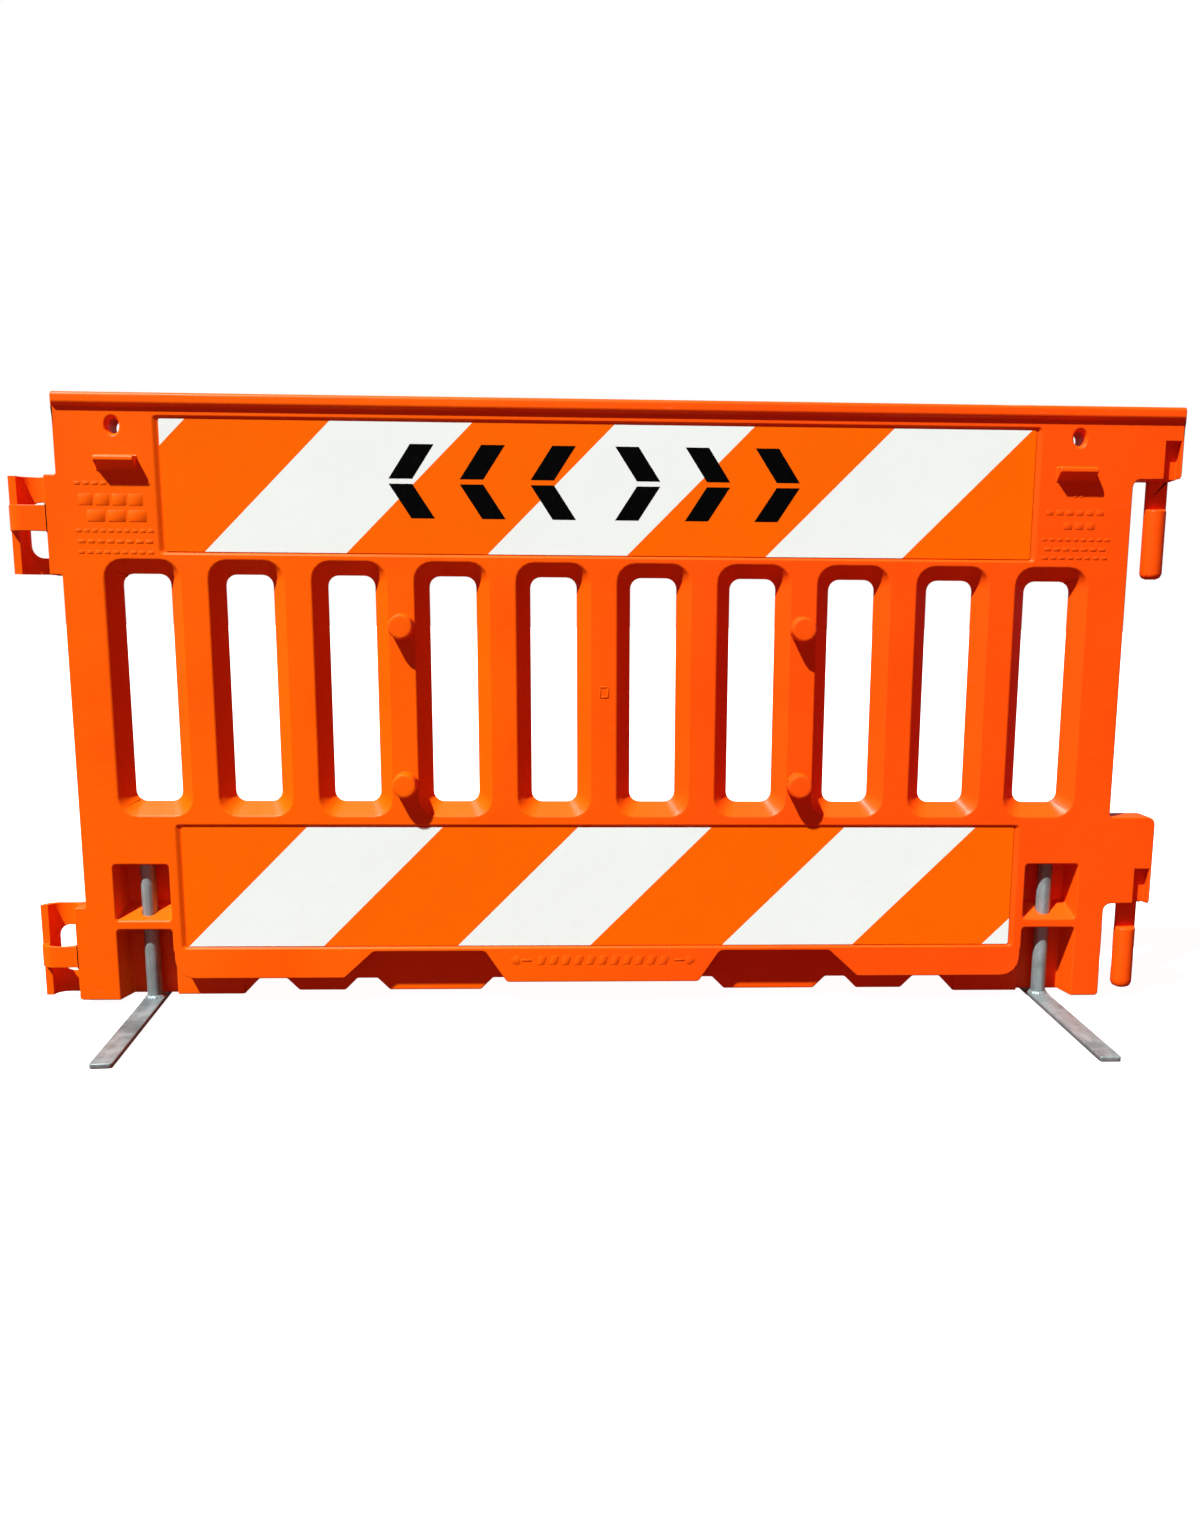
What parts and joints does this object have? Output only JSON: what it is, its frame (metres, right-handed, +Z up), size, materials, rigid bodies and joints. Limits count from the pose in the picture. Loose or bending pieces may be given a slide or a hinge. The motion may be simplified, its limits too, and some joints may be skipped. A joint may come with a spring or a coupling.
{
  "type": "pedestrian wall barricade",
  "caption": "Interlocking plastic pedestrian wall barricade with picket slots, striped reflective panels, link loops and pins, on swivelling flat steel feet.",
  "frame": {"origin": "on the ground, under the centre of the whole barricade's box", "axes": "+X along the wall from the link loops to the link pins, -Y out of the front face, +Z up"},
  "size_m": [1.809, 0.6602, 0.952],
  "materials": {
    "orange_polyethylene": "satin",
    "reflective_sheeting": "gloss",
    "zinc_plate": "satin",
    "spring_steel": "satin"
  },
  "bodies": {
    "wall": {"wall_panel": "orange_polyethylene", "sheeting_front_upper": "reflective_sheeting", "sheeting_front_lower": "reflective_sheeting", "sheeting_rear_upper": "reflective_sheeting", "sheeting_rear_lower": "reflective_sheeting"},
    "left_ring": {"left_retaining_ring": "spring_steel"},
    "left_foot": {"left_foot_bar": "zinc_plate", "left_foot_post": "zinc_plate"},
    "right_ring": {"right_retaining_ring": "spring_steel"},
    "right_foot": {"right_foot_bar": "zinc_plate", "right_foot_post": "zinc_plate"}
  },
  "joints": [
    {"name": "left_lift", "type": "slide", "parent": "wall", "child": "left_ring", "axis": [0, 0, 1], "range_m": [-0.025, 0]},
    {"name": "left_swivel", "type": "hinge", "parent": "left_ring", "child": "left_foot", "pos_m": [-0.73, 0, 0], "axis": [0, 0, 1], "range_deg": [-94.5, 85.5]},
    {"name": "right_lift", "type": "slide", "parent": "wall", "child": "right_ring", "axis": [0, 0, 1], "range_m": [-0.025, 0]},
    {"name": "right_swivel", "type": "hinge", "parent": "right_ring", "child": "right_foot", "pos_m": [0.735, 0, 0], "axis": [0, 0, 1], "range_deg": [-90, 90]}
  ]
}
